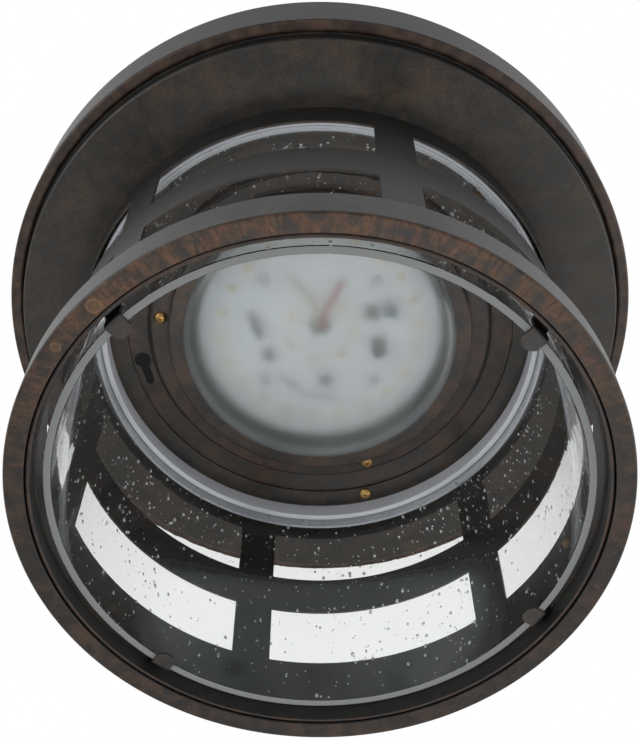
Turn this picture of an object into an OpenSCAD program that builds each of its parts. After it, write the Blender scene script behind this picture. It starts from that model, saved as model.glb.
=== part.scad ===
// Outdoor flush mount ceiling light with a windowed cage, a seeded glass cylinder and a sealed LED unit.
// The origin is the centre of the ceiling plane, and the light hangs down from it along -Z.
// The radii build up from the LED board outwards: diffuser, pan, keyholes, canopy opening, glass, cage, canopy.

/* [LED board] */
// Diameter of the LED board
board_d = 130; // [124:1:140]
// Space between the board and the side of the pan's well
board_play = 3; // [2:0.1:5]
// Distance from the side of the well out to the diffuser ring's opening
well_inset = 4.7; // [3:0.1:6]
// Thickness of the LED board
board_t = 1.6; // [1.2:0.1:2]
// Distance that the thermal pad stays inside the board's edge
pad_inset = 4; // [1:0.5:8]
// Thickness of the thermal pad behind the board
pad_t = 0.5; // [0.3:0.1:1]
// Number of LED chips in the outer ring
outer_leds = 22; // [16:1:28]
// Number of LED chips in the inner ring
inner_leds = 7; // [5:1:8]
// Distance of the outer ring of LED chips from the board's edge
outer_led_edge = 12; // [8:0.5:14]
// Radius of the inner ring of LED chips
inner_led_r = 17.6; // [16:0.2:20]

/* [Diffuser] */
// Distance from the diffuser ring's flange out to the edge of the pan's land
trim_play = 0.7; // [0.5:0.1:1.5]
// Width of the diffuser ring's flange
trim_flange_w = 8.7; // [8:0.1:12]
// Distance of the diffuser screws from the ring's raised rim
trim_screw_edge = 4.4; // [4.2:0.1:5]
// Directions of the three diffuser screws, in degrees from +X
trim_screw_az = [72, 187, 309.5];
// Width of the diffuser ring's lip
trim_lip_w = 8.1; // [7:0.1:12]
// Height of the diffuser ring's raised rim
trim_rim_h = 7.5; // [6.5:0.1:9]
// Thickness of the diffuser ring's sheet
trim_t = 1; // [0.8:0.1:1.2]
// Play between the diffuser and its ring
dome_play = 0.4; // [0.3:0.1:0.8]
// Drop of the diffuser's dome below its ring
dome_drop = 10; // [6:0.5:16]
// Wall thickness of the diffuser
dome_t = 1.8; // [1.4:0.1:2.2]
// Width of the seal between the diffuser and the pan
seal_w = 6.6; // [4:0.1:6.8]

/* [Mounting pan] */
// Distance from the edge of the pan's land out to a keyhole's centre
keyhole_inset = 7.6; // [7.4:0.1:10]
// Distance that the pan laps past the canopy screws
pan_lap = 10.4; // [8:0.2:11]
// Height of the pan's turned-up edge
pan_edge_h = 8; // [6:0.5:12]
// Drop of the pan's middle land below its flat
land_drop = 3.2; // [2.5:0.1:5]
// Width of the slope between the flat and the land
land_slope = 2.4; // [1.8:0.1:2.6]
// Rise of the pan's well above its flat
well_rise = 3; // [2:0.1:5]
// Width of the slope at the well's side
well_slope = 2; // [1.5:0.1:2.5]

/* [Keyholes] */
// Diameter of a keyhole's round end
keyhole_d = 8.8; // [8:0.1:9.6]
// Width of a keyhole's narrow end
keyhole_slot_w = 4.6; // [4.2:0.1:5.4]
// Direction of the first keyhole's round end, in degrees from +X
keyhole_az = 169.7; // [165:0.1:175]
// Turn from a keyhole's round end to its narrow end, in degrees
keyhole_turn = 7.7; // [6:0.1:10]

/* [Canopy] */
// Height of the canopy side wall, from the ceiling to the rolled bead
canopy_h = 35; // [28:0.5:46]
// Width of the turned-in rim that lies on the ceiling
canopy_rim_w = 5; // [4:0.5:10]
// Width of the rolled bead around the underside
bead_w = 5.7; // [4:0.1:7]
// Width of the groove between the bead and the flat face
groove_w = 2; // [1.6:0.1:3]
// Height of the groove above the bead
groove_h = 2; // [1.6:0.1:3]
// Drop of the flat face below the bead
face_drop = 6.5; // [4.5:0.1:10]
// Width of the flat face outside the cage
canopy_face_w = 33.7; // [20:0.1:60]
// Distance from a keyhole's centre out to the edge of the canopy's opening
keyhole_margin = 5.6; // [5:0.1:8]
// Distance from the edge of the opening to the canopy screws
canopy_screw_edge = 4.2; // [4:0.1:6]
// Direction of the first canopy screw, in degrees from +X
canopy_screw_az = 76; // [70:0.5:82]
// Thickness of the pressed steel sheet
sheet_t = 1.2; // [1:0.1:1.5]

/* [Cage] */
// Space between the gasket and the cage sheet
cage_play = 1.95; // [1:0.05:4]
// Thickness of the cage sheet
cage_t = 1.1; // [0.9:0.1:1.5]
// Number of upright posts
post_count = 6; // [4:1:10]
// Width of one post
post_w = 19.6; // [12:0.2:28]
// Direction of the first post, in degrees from +X
post_az = 46.5; // [0:0.5:59]
// Height of the solid band under the canopy
top_band_h = 20.6; // [16:0.2:30]
// Height of the upper windows
upper_window_h = 37.5; // [28:0.5:50]
// Height of the band between the windows
mid_band_h = 26.7; // [18:0.1:34]
// Height of the lower windows
lower_window_h = 39.2; // [28:0.1:54]
// Height of the solid band below the windows
bottom_band_h = 27.5; // [24:0.5:36]

/* [Bottom ring] */
// Width of the bottom ring's face
ring_face_w = 9; // [7:0.2:14]
// Height of the bottom ring
ring_h = 20.1; // [17:0.1:26]
// Drop of the bottom ring below the cage sheet
ring_drop = 9.6; // [9:0.1:13]
// Thickness of the hoop inside the ring
hoop_t = 2; // [1.5:0.1:3]
// Height of the hoop's lower edge above the ring's face
hoop_recess = 0.7; // [0.4:0.1:1.5]
// Width of the shadow line between the hoop and the ring
seam_w = 0.4; // [0.3:0.1:0.8]

/* [Glass] */
// Distance from the canopy screws out to the gasket
gasket_margin = 5.65; // [5:0.05:8]
// Wall thickness of the glass
glass_t = 3.7; // [3:0.1:5]
// Depth of the glass rim below the edge of the cage sheet
glass_drop = 4.8; // [4.4:0.1:5.4]
// Directions of the four glass tongues, in degrees from +X
tongue_az = [33.4, 128.6, 226.2, 317.7];
// Width of one glass tongue
tongue_w = 9.2; // [7:0.2:14]
// Distance that a glass tongue reaches in past the glass
tongue_reach = 4.3; // [2:0.1:6]
// Length of the cut corners at a tongue's tip
tongue_chamfer = 2.6; // [0.6:0.2:3]
// Inner radius of the bend in a glass tongue
tongue_bend_r = 0.8; // [0.5:0.1:1]
// Depth of the slits beside a glass tongue, up into the cage sheet
tongue_slit_h = 5.5; // [4.5:0.1:8]
// Height over which a glass tongue steps in to the glass
tongue_step_h = 2.6; // [2:0.1:3]
// Play between a glass tongue and the glass rim
tongue_play = 0.3; // [0.2:0.05:0.5]
// Thickness of the gasket between the glass and the canopy
gasket_web = 2; // [1.5:0.1:3]
// Thickness of the gasket's outer leg
gasket_leg_t = 1.6; // [1.2:0.1:2.4]
// Width of the gasket inside the glass
gasket_lip_w = 2.9; // [2:0.1:4]
// Depth of the gasket's outer leg
gasket_outer_h = 13.5; // [9:0.5:16]
// Depth of the gasket's inner leg
gasket_inner_h = 10; // [7:0.5:14]

/* [Hidden] */

bronze = "#40382f";
steel = "#b9bcc0";

// Small standard sizes
seat_gap = 0.1;        // between curved faces that are fitted or welded
pass_gap = 0.2;        // around a screw in its hole
slip_gap = 0.15;       // between the gasket and the glass
flange_gap = 0.6;      // between the diffuser's flange and its ring
corner_r = 1.6;        // outer corner of pressed sheet
soft_r = 2;            // outer corner of the drawn pan and bead
inner_r = 0.8;         // inner corner of pressed sheet
groove_corner_r = 0.4; // corners at the bottom of the groove
bend_slack = 0.1;      // inner radius of a tight bend
step_r_out = 1.6;      // outer corners where a glass tongue steps in
slit_w = 0.6;          // slit beside a glass tongue
cut_margin = 2;        // how far a cutter runs past what it cuts

// Levels, from the ceiling down
bead_z = -canopy_h;
face_z = bead_z - face_drop;
upper_top_z = face_z - top_band_h;
upper_low_z = upper_top_z - upper_window_h;
lower_top_z = upper_low_z - mid_band_h;
lower_low_z = lower_top_z - lower_window_h;
cage_low_z = lower_low_z - bottom_band_h;
ring_low_z = cage_low_z - ring_drop;
ring_top_z = ring_low_z + ring_h;
glass_top_z = face_z - gasket_web;
glass_low_z = cage_low_z - glass_drop;
tongue_top_z = glass_low_z - tongue_play;
slit_top_z = cage_low_z + tongue_slit_h;
flat_z = face_z + sheet_t;
land_z = flat_z - land_drop;
well_z = flat_z + well_rise;
back_z = well_z + sheet_t;
pad_z = well_z - pad_t;
board_z = pad_z - board_t;
trim_z = land_z - trim_t;
trim_low_z = land_z - trim_rim_h;
dome_seat_z = trim_low_z + trim_t;

// Radii, from the board outwards
board_r = board_d / 2;
outer_led_r = board_r - outer_led_edge;
well_r = board_r + board_play;
trim_bore_r = well_r + well_inset;
dome_r = trim_bore_r - dome_play;
trim_rim_r = trim_bore_r + trim_lip_w;
dome_flange_r = trim_rim_r - trim_t - flange_gap;
trim_screw_r = trim_rim_r + trim_screw_edge;
trim_r = trim_rim_r + trim_flange_w;
land_r = trim_r + trim_play;
keyhole_r = land_r + keyhole_inset;
opening_r = keyhole_r + keyhole_margin;
canopy_screw_r = opening_r + canopy_screw_edge;
pan_r = canopy_screw_r + pan_lap;
gasket_lip_r = canopy_screw_r + gasket_margin;
glass_in_r = gasket_lip_r + gasket_lip_w + slip_gap;
glass_r = glass_in_r + glass_t;
tongue_tip_r = glass_in_r - tongue_reach;
tongue_r = glass_r + tongue_play + cage_t;
gasket_r = glass_r + slip_gap + gasket_leg_t;
cage_in_r = gasket_r + cage_play;
cage_r = cage_in_r + cage_t;
hoop_in_r = cage_r + seat_gap;
hoop_r = hoop_in_r + hoop_t;
ring_face_r = hoop_r + seam_w;
ring_r = ring_face_r + ring_face_w;
step_r = cage_r + canopy_face_w;
groove_r = step_r + groove_w;
canopy_r = groove_r + bead_w;
groove_floor_r = step_r + 0.6 * groove_w;
tight_r = sheet_t + bend_slack;

// Canopy screws, machine screws with nuts behind the pan
m4_r = 2;
m4_head_r = 3.7;
m4_head_h = 2.4;
m4_nut_r = 4.05;
m4_nut_h = 3.2;
canopy_screw_count = 3;
canopy_screw_tip = 1.2;

// Diffuser and board screws, thread-forming in the pan
m35_r = 1.75;
m35_head_r = 3.5;
m35_head_h = 2.2;
m3_r = 1.5;
m3_head_r = 2.75;
m3_head_h = 2;
screw_tip = 3;
cross_w = 0.9;
cross_depth = 1.2;
board_screw_edge = 11;
board_screw_r = outer_led_r - board_screw_edge;
board_screw_az = [45, 135, 225, 315];

// Parts on the board
led_chip = [2.8, 3.5, 0.8];
outer_led_az = 323.2;
inner_led_az = 307;
driver_chip = [6, 5, 1.8];
driver_chip_at = [[2.9, 29.8, 0], [-28, 14.3, 64]];
bridge = [7.5, 6.5, 2.6];
bridge_at = [27.9, -11.2];
can_r = 4;
can_h = 9;
can_at = [31.6, 8.2];
disc_r = 4;
disc_t = 3.6;
disc_at = [37.5, -14];
disc_lead_l = 2.2;
disc_lead_x = 2.5;
lead_r = 0.4;
fuse_r = 2.2;
fuse_l = 11;
fuse_at = [-34.3, -4];
fuse_az = 71;
fuse_lead_l = 3;
fuse_lift = 0.8;
resistor = [3.2, 1.6, 0.7];
resistor_row_at = [-9, 40.5];
resistor_row_step = [5.4, -0.8];
resistor_line_at = [-20, 28];
resistor_line_step = [3.6, 3.2];
solder_r = 1.7;
solder_tip_r = 0.8;
solder_h = 0.9;
solder_shift = 2.4;

// Wire way through the middle of the board
way_x = 0;
way_y = -3.2;
grommet_r = 5.4;
grommet_waist_r = 4.2;
grommet_bore_r = 2.9;
grommet_lip = 1.1;
board_hole_r = 5.8;
wire_r = 1.05;
wire_port_r = 1.3;

// Terminal block and ground stud behind the pan
block_x = 30;
block_y = 17;
block_h = 13;
block_front = 21.5;
block_mid = block_front + block_y / 2;
block_low_z = back_z + 4;
block_top_z = block_low_z + block_h;
boss_r = 3.2;
boss_bore_r = 1.3;
block_screw_r = 1.2;
block_screw_head_r = 2.3;
block_screw_well = 5;
port_pitch = 10;
port_x = [-port_pitch, 0, port_pitch];
boss_x = [-port_pitch / 2, port_pitch / 2];
port_r = 1.9;
port_z = block_low_z + 4.6;
port_reach = 5;
sleeve_r = 2.3;
sleeve_bore_r = 1.6;
sleeve_inset = 1.2;
clamp_r = 1.3;
clamp_head_r = 1.6;
clamp_head_h = 1.6;
clamp_inset = 4.2;
clamp_y = [block_front + clamp_inset, block_front + block_y - clamp_inset];
clamp_seat_z = port_z + sleeve_r + 2;
stud_at = [34, 8];
stud_r = 2;
stud_h = 11;
stud_foot_r = 4.5;
stud_foot_h = 1.2;
lug_r = 4.2;
lug_t = 0.8;

// Routes of the wires, measured from the wire way and the pan's back
wire_low = board_z - wire_r;
neutral_route = [[-16, -31.5, wire_low - 0.1], [-11.5, -27, wire_low - 1.5], [-6, -20, wire_low - 2.5],
                 [-2.8, -11, wire_low - 2.2], [-1.4, -4.5, wire_low - 0.2], [-1.3, way_y, well_z],
                 [-1.4, way_y, back_z + 4], [-3, -1, back_z + 8], [-5, 6, back_z + 9.5],
                 [-8, 14, back_z + 9.2], [port_x[0], 19, port_z], [port_x[0], block_front + port_reach, port_z]];
live_route = [[12, -29.4, wire_low - 0.1], [8.5, -24, wire_low - 1.5], [4.8, -17, wire_low - 2.5],
              [2.4, -10, wire_low - 2.2], [1.4, -4.5, wire_low - 0.2], [1.3, way_y, well_z],
              [1.4, way_y, back_z + 4], [1.2, -1, back_z + 8], [0.6, 6, back_z + 9.5],
              [0.2, 14, back_z + 9.2], [port_x[1], 19, port_z], [port_x[1], block_front + port_reach, port_z]];
ground_route = [[port_x[2], block_front + port_reach, port_z], [port_x[2], 19, port_z],
                [port_x[2] + 1, 13, port_z], [port_x[2] + 5, stud_at[1] + 1, back_z + 7],
                [stud_at[0] - 13, stud_at[1], back_z + 4.5], [stud_at[0] - 8.5, stud_at[1], back_z + 2.6]];

// Sheet profiles: an open path of [radius, height] points with even thickness on one side
function unit(v) = v / norm(v);
function left(v) = [-v[1], v[0]];
function side_point(path, i, t) =
    let (last = len(path) - 1,
         before = left(unit(path[max(i, 1)] - path[max(i, 1) - 1])),
         after = left(unit(path[min(i, last - 1) + 1] - path[min(i, last - 1)])),
         bisector = unit(before + after))
    path[i] + bisector * t / (bisector * after);
function sheet(path, t) =
    concat(path, [for (i = [len(path) - 1 : -1 : 0]) side_point(path, i, t)]);

// Rounded corners: each path point is [radius, height, corner radius]
function flat_point(p) = [p[0], p[1]];
function corner(a, b, c, r, steps = 5) =
    let (u = unit(a - b), v = unit(c - b), half = acos(u * v) / 2,
         centre = b + unit(u + v) * r / sin(half),
         p = b + u * r / tan(half), q = b + v * r / tan(half))
    [for (k = [0 : steps]) centre + unit((p * (steps - k) + q * k) / steps - centre) * r];
function rounded(points) =
    let (last = len(points) - 1)
    [for (i = [0 : last])
        each (i == 0 || i == last || points[i][2] == 0)
            ? [flat_point(points[i])]
            : corner(flat_point(points[i - 1]), flat_point(points[i]), flat_point(points[i + 1]), points[i][2])];

module lathe(profile) {
    rotate_extrude($fn = 180) polygon(profile);
}

module at(az, r) {
    rotate(az) translate([r, 0, 0]) children();
}

// A cross recess cut into a screw head that faces down
module cross_recess(head_r) {
    for (turn = [0, 90])
        rotate(turn) translate([-head_r * 0.55, -cross_w / 2, -cut_margin])
            cube([head_r * 1.1, cross_w, cross_depth + cut_margin]);
}

// A pan head screw with its head down, its seat at the given height and its tip above
module screw_up(seat_z, tip_z, shank_r, head_r, head_h) {
    difference() {
        union() {
            translate([0, 0, seat_z]) cylinder(r = shank_r, h = tip_z - seat_z, $fn = 24);
            translate([0, 0, seat_z - head_h * 0.45]) cylinder(r = head_r, h = head_h * 0.45, $fn = 32);
            translate([0, 0, seat_z - head_h])
                cylinder(r1 = head_r * 0.62, r2 = head_r, h = head_h * 0.55, $fn = 32);
        }
        translate([0, 0, seat_z - head_h]) cross_recess(head_r);
    }
}

// A slotted screw with its head up
module screw_down(seat_z, tip_z, shank_r, head_r, head_h) {
    difference() {
        union() {
            translate([0, 0, tip_z]) cylinder(r = shank_r, h = seat_z - tip_z, $fn = 24);
            translate([0, 0, seat_z]) cylinder(r = head_r, h = head_h, $fn = 32);
        }
        translate([-head_r - cut_margin, -cross_w / 2, seat_z + head_h / 2])
            cube([2 * (head_r + cut_margin), cross_w, head_h]);
    }
}

module canopy() {
    color(bronze) difference() {
        lathe(sheet(rounded([
            [canopy_r - canopy_rim_w, 0, 0], [canopy_r, 0, corner_r], [canopy_r, bead_z, tight_r],
            [groove_r, bead_z, soft_r], [groove_floor_r, bead_z + groove_h, groove_corner_r],
            [step_r, bead_z + groove_h, groove_corner_r], [step_r, face_z, tight_r],
            [opening_r, face_z, 0]]), -sheet_t));
        for (i = [0 : canopy_screw_count - 1])
            at(canopy_screw_az + i * 360 / canopy_screw_count, canopy_screw_r)
                translate([0, 0, face_z - cut_margin])
                    cylinder(r = m4_r + pass_gap, h = sheet_t + 2 * cut_margin, $fn = 32);
    }
}

// One window between two posts, as a wedge from the axis
module window_wedge(low_z, top_z, from_az, to_az) {
    reach = cage_r * 1.3;
    mid_az = (from_az + to_az) / 2;
    translate([0, 0, low_z]) linear_extrude(top_z - low_z)
        polygon([[0, 0], for (az = [from_az, mid_az, to_az]) reach * [cos(az), sin(az)]]);
}

// The plan of one glass tongue, pointing along +X
module tongue_plan() {
    half = tongue_w / 2;
    cut = tongue_chamfer;
    polygon([[cage_r + cut_margin, -half], [cage_r + cut_margin, half], [tongue_tip_r + cut, half],
             [tongue_tip_r, half - cut], [tongue_tip_r, cut - half], [tongue_tip_r + cut, -half]]);
}

module glass_tongue(az) {
    low_z = tongue_top_z - cage_t;
    root_z = slit_top_z + cut_margin;
    step_z = slit_top_z - step_r_out;
    intersection() {
        lathe(sheet(rounded([[cage_r, root_z, 0], [cage_r, step_z, step_r_out],
                             [tongue_r, step_z - tongue_step_h, inner_r],
                             [tongue_r, low_z, cage_t + tongue_bend_r],
                             [tongue_tip_r - cut_margin, low_z, 0]]), -cage_t));
        translate([0, 0, low_z - cut_margin])
            linear_extrude(root_z - low_z + 2 * cut_margin) rotate(az) tongue_plan();
    }
}

module cage_band() {
    step = 360 / post_count;
    half_post = asin(post_w / 2 / cage_r);
    notch_w = tongue_w + 2 * slit_w;
    color(bronze) {
        difference() {
            lathe([[cage_in_r, cage_low_z], [cage_r, cage_low_z], [cage_r, face_z], [cage_in_r, face_z]]);
            for (i = [0 : post_count - 1]) {
                from_az = post_az + i * step + half_post;
                to_az = post_az + (i + 1) * step - half_post;
                window_wedge(upper_low_z, upper_top_z, from_az, to_az);
                window_wedge(lower_low_z, lower_top_z, from_az, to_az);
            }
            for (az = tongue_az) rotate(az)
                translate([glass_r, -notch_w / 2, cage_low_z - cut_margin])
                    cube([cage_r - glass_r + cut_margin, notch_w, tongue_slit_h + cut_margin]);
        }
        for (az = tongue_az) glass_tongue(az);
    }
}

module ring_hoop() {
    low_z = ring_low_z + hoop_recess;
    top_z = ring_top_z - sheet_t;
    color(bronze) lathe([[hoop_in_r, low_z + 0.3], [hoop_in_r + 0.3, low_z], [hoop_r - 0.3, low_z],
                         [hoop_r, low_z + 0.3], [hoop_r, top_z], [hoop_in_r, top_z]]);
}

module bottom_ring() {
    color(bronze) lathe(sheet(rounded([
        [cage_r + 2 * seat_gap, ring_top_z, 0], [ring_r, ring_top_z, corner_r],
        [ring_r, ring_low_z, tight_r], [ring_face_r, ring_low_z, 0]]), -sheet_t));
}

module glass_cylinder() {
    edge = 0.4;
    color([0.85, 0.9, 0.9, 0.35]) lathe([
        [glass_in_r, glass_low_z + edge], [glass_in_r + edge, glass_low_z], [glass_r - edge, glass_low_z],
        [glass_r, glass_low_z + edge], [glass_r, glass_top_z - edge], [glass_r - edge, glass_top_z],
        [glass_in_r + edge, glass_top_z], [glass_in_r, glass_top_z - edge]]);
}

module glass_gasket() {
    in_r = glass_in_r - slip_gap;
    inner_low_z = face_z - gasket_inner_h;
    edge = 0.3;
    color([0.85, 0.87, 0.92]) lathe([
        [gasket_lip_r, face_z], [gasket_r, face_z], [gasket_r, face_z - gasket_outer_h + 0.5],
        [gasket_r - 0.5, face_z - gasket_outer_h], [glass_r + slip_gap, face_z - gasket_outer_h],
        [glass_r + slip_gap, glass_top_z], [in_r, glass_top_z],
        [in_r, inner_low_z + edge], [in_r - edge, inner_low_z], [gasket_lip_r + edge, inner_low_z],
        [gasket_lip_r, inner_low_z + edge]]);
}

// A keyhole through flat sheet, as a round end, a narrow end and the neck between them
module keyhole_cutter() {
    neck = 2 * keyhole_r * sin(keyhole_turn / 2);
    translate([0, 0, flat_z - cut_margin]) {
        at(keyhole_az, keyhole_r) cylinder(d = keyhole_d, h = sheet_t + 2 * cut_margin, $fn = 48);
        at(keyhole_az - keyhole_turn, keyhole_r)
            cylinder(d = keyhole_slot_w, h = sheet_t + 2 * cut_margin, $fn = 48);
        at(keyhole_az - keyhole_turn, keyhole_r) rotate(keyhole_turn / 2) translate([-keyhole_slot_w / 2, 0, 0])
            cube([keyhole_slot_w, neck, sheet_t + 2 * cut_margin]);
    }
}

module pan_hole(az, r, hole_r) {
    at(az, r) translate([0, 0, land_z - cut_margin])
        cylinder(r = hole_r, h = back_z - land_z + 2 * cut_margin, $fn = 32);
}

module mounting_pan() {
    color(bronze) difference() {
        union() {
            lathe(sheet(rounded([
                [pan_r, flat_z + pan_edge_h, 0], [pan_r, flat_z, soft_r],
                [land_r + land_slope, flat_z, inner_r], [land_r, land_z, soft_r],
                [well_r + well_slope, land_z, corner_r], [well_r, well_z, corner_r], [0, well_z, 0]]), -sheet_t));
            for (x = boss_x) translate([x, block_mid, back_z - sheet_t / 2])
                cylinder(r = boss_r, h = block_low_z - back_z + sheet_t / 2, $fn = 32);
        }
        for (turn = [0, 180]) rotate(turn) keyhole_cutter();
        for (i = [0 : canopy_screw_count - 1])
            pan_hole(canopy_screw_az + i * 360 / canopy_screw_count, canopy_screw_r, m4_r + pass_gap);
        for (az = trim_screw_az) pan_hole(az, trim_screw_r, m35_r + seat_gap);
        for (az = board_screw_az) pan_hole(az, board_screw_r, m3_r + seat_gap);
        translate([way_x, way_y, well_z - cut_margin])
            cylinder(r = grommet_waist_r + seat_gap, h = sheet_t + 2 * cut_margin, $fn = 48);
        for (x = boss_x) translate([x, block_mid, back_z - sheet_t / 3])
            cylinder(r = boss_bore_r, h = block_low_z - back_z + cut_margin, $fn = 24);
    }
}

module canopy_screws() {
    color("#b08a3c") for (i = [0 : canopy_screw_count - 1])
        at(canopy_screw_az + i * 360 / canopy_screw_count, canopy_screw_r)
            screw_up(face_z, flat_z + sheet_t + m4_nut_h + canopy_screw_tip, m4_r, m4_head_r, m4_head_h);
}

module canopy_nuts() {
    color(steel) for (i = [0 : canopy_screw_count - 1])
        at(canopy_screw_az + i * 360 / canopy_screw_count, canopy_screw_r)
            translate([0, 0, flat_z + sheet_t]) difference() {
                cylinder(r = m4_nut_r, h = m4_nut_h, $fn = 6);
                translate([0, 0, -cut_margin])
                    cylinder(r = m4_r + seat_gap, h = m4_nut_h + 2 * cut_margin, $fn = 24);
            }
}

module diffuser_ring() {
    color(bronze) difference() {
        lathe(sheet(rounded([
            [trim_r, trim_z, 0], [trim_rim_r, trim_z, 0.6],
            [trim_rim_r, trim_low_z, corner_r], [trim_bore_r, trim_low_z, 0]]), -trim_t));
        for (az = trim_screw_az) at(az, trim_screw_r)
            translate([0, 0, trim_z - cut_margin])
                cylinder(r = m35_r + pass_gap, h = trim_t + 2 * cut_margin, $fn = 32);
    }
}

module diffuser_screws() {
    color("#b08a3c") for (az = trim_screw_az) at(az, trim_screw_r)
        screw_up(trim_z, land_z + sheet_t + screw_tip, m35_r, m35_head_r, m35_head_h);
}

module diffuser() {
    low_z = trim_low_z - dome_drop;
    curve_z = trim_low_z - 0.3;
    color([0.92, 0.94, 0.95]) lathe(sheet(concat(
        [[dome_flange_r, dome_seat_z], [dome_r, dome_seat_z]],
        [for (t = [0 : 7.5 : 82.5])
            [dome_r * pow(cos(t), 0.62), curve_z - (curve_z - low_z) * pow(sin(t), 1.15)]],
        [[dome_r / 9, low_z], [0, low_z]]), -dome_t));
}

module diffuser_seal() {
    top_z = land_z;
    low_z = dome_seat_z + dome_t;
    in_r = dome_flange_r - seal_w;
    color("#d8d8d4") lathe([[in_r, low_z], [dome_flange_r, low_z], [dome_flange_r, top_z], [in_r, top_z]]);
}

module thermal_pad() {
    color("#8f97a3") translate([0, 0, pad_z]) difference() {
        cylinder(r = board_r - pad_inset, h = pad_t, $fn = 120);
        for (az = board_screw_az) at(az, board_screw_r) translate([0, 0, -cut_margin])
            cylinder(r = m3_r + 0.5, h = pad_t + 2 * cut_margin, $fn = 24);
        translate([way_x, way_y, -cut_margin])
            cylinder(r = board_hole_r + 1, h = pad_t + 2 * cut_margin, $fn = 48);
    }
}

module led_board() {
    color("#eef1ef") translate([0, 0, board_z]) difference() {
        cylinder(r = board_r, h = board_t, $fn = 120);
        for (az = board_screw_az) at(az, board_screw_r) translate([0, 0, -cut_margin])
            cylinder(r = m3_r + pass_gap, h = board_t + 2 * cut_margin, $fn = 24);
        translate([way_x, way_y, -cut_margin])
            cylinder(r = board_hole_r, h = board_t + 2 * cut_margin, $fn = 48);
    }
}

// A small block on the board's lower face, centred at x and y
module on_board(x, y, size, turn = 0) {
    translate([x, y, board_z]) rotate(turn) translate([-size[0] / 2, -size[1] / 2, -size[2]]) cube(size);
}

module led_chips() {
    color("#f4d27a") {
        for (i = [0 : outer_leds - 1]) {
            az = outer_led_az + i * 360 / outer_leds;
            on_board(outer_led_r * cos(az), outer_led_r * sin(az), led_chip, az);
        }
        for (i = [0 : inner_leds - 1]) {
            az = inner_led_az + i * 360 / inner_leds;
            on_board(inner_led_r * cos(az), inner_led_r * sin(az), led_chip, az);
        }
    }
}

module board_screws() {
    color(steel) for (az = board_screw_az) at(az, board_screw_r)
        screw_up(board_z, back_z + screw_tip, m3_r, m3_head_r, m3_head_h);
}

module driver_chips() {
    color("#1c1c1e") for (p = driver_chip_at) on_board(p[0], p[1], driver_chip, p[2]);
}

module bridge_rectifier() {
    color("#5a5148") on_board(bridge_at[0], bridge_at[1], bridge);
}

module smoothing_capacitor() {
    foot_h = 1;
    color("#18191c") translate([can_at[0], can_at[1], board_z - can_h]) {
        cylinder(r = can_r, h = can_h - foot_h, $fn = 48);
        translate([0, 0, can_h - foot_h]) cylinder(r = can_r - lead_r, h = foot_h, $fn = 48);
    }
}

// A disc varistor standing on two legs
module surge_varistor() {
    color("#7d8a94") translate([disc_at[0], disc_at[1], board_z]) rotate(20) {
        translate([0, disc_t / 2, lead_r - disc_lead_l - disc_r]) rotate([90, 0, 0])
            cylinder(r = disc_r, h = disc_t, $fn = 48);
        for (x = [-disc_lead_x, disc_lead_x]) translate([x, 0, -disc_lead_l - disc_r / 2])
            cylinder(r = lead_r, h = disc_lead_l + disc_r / 2, $fn = 16);
    }
}

// A fusible resistor lying along the board on two bent legs
module fuse_resistor() {
    height = fuse_r + fuse_lift;
    sunk = lead_r * 2;
    color("#6b747c") translate([fuse_at[0], fuse_at[1], board_z]) rotate(fuse_az) {
        translate([-fuse_l / 2, 0, -height]) rotate([0, 90, 0]) cylinder(r = fuse_r, h = fuse_l, $fn = 40);
        for (side = [-1, 1]) {
            foot = side * (fuse_l / 2 + fuse_lead_l);
            translate([min(foot, side * (fuse_l / 2 - sunk)), 0, -height]) rotate([0, 90, 0])
                cylinder(r = lead_r, h = fuse_lead_l + sunk, $fn = 16);
            translate([foot, 0, -height - lead_r]) cylinder(r = lead_r, h = height + lead_r, $fn = 16);
        }
    }
}

module board_resistors() {
    color("#2c2d30") {
        for (i = [0 : 3])
            on_board(resistor_row_at[0] + i * resistor_row_step[0],
                     resistor_row_at[1] + abs(i - 1.5) * resistor_row_step[1], resistor, 90);
        for (i = [0 : 2])
            on_board(resistor_line_at[0] + i * resistor_line_step[0],
                     resistor_line_at[1] + i * resistor_line_step[1], resistor, 132);
    }
}

module wire_grommet() {
    color("#1a1a1a") translate([way_x, way_y, 0]) lathe([
        [grommet_bore_r, well_z - grommet_lip], [grommet_r, well_z - grommet_lip], [grommet_r, well_z],
        [grommet_waist_r, well_z], [grommet_waist_r, back_z], [grommet_r, back_z],
        [grommet_r - 0.5, back_z + grommet_lip + 0.6], [grommet_bore_r, back_z + grommet_lip + 0.6]]);
}

// A round wire along a route: the route is smoothed, and rings of corners are joined into one skin
function blend(a, b, c, d, t) =
    0.5 * (2 * b + (c - a) * t + (2 * a - 5 * b + 4 * c - d) * t * t + (3 * b - a - 3 * c + d) * t * t * t);
function smooth(route, steps) =
    let (last = len(route) - 1)
    [for (i = [0 : last - 1], k = [0 : steps - 1])
        blend(route[max(i - 1, 0)], route[i], route[i + 1], route[min(i + 2, last)], k / steps),
     route[last]];
function ring_at(path, i, r, sides) =
    let (last = len(path) - 1,
         ahead = unit(path[min(i + 1, last)] - path[max(i - 1, 0)]),
         up = unit(cross(ahead, [1, 0.15, 0])), across = cross(ahead, up))
    [for (s = [0 : sides - 1]) path[i] + r * (cos(s * 360 / sides) * up + sin(s * 360 / sides) * across)];

module wire(route, r) {
    sides = 8;
    path = smooth(route, 3);
    rings = len(path);
    polyhedron(
        points = [for (i = [0 : rings - 1]) each ring_at(path, i, r, sides)],
        faces = [
            [for (s = [0 : sides - 1]) s],
            [for (s = [sides - 1 : -1 : 0]) (rings - 1) * sides + s],
            for (i = [0 : rings - 2], s = [0 : sides - 1])
                each let (a = i * sides + s, b = i * sides + (s + 1) % sides)
                [[a, a + sides, b], [b, a + sides, b + sides]]]);
}

module live_wire() {
    color("#a33a2c") wire(live_route, wire_r);
}

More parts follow.
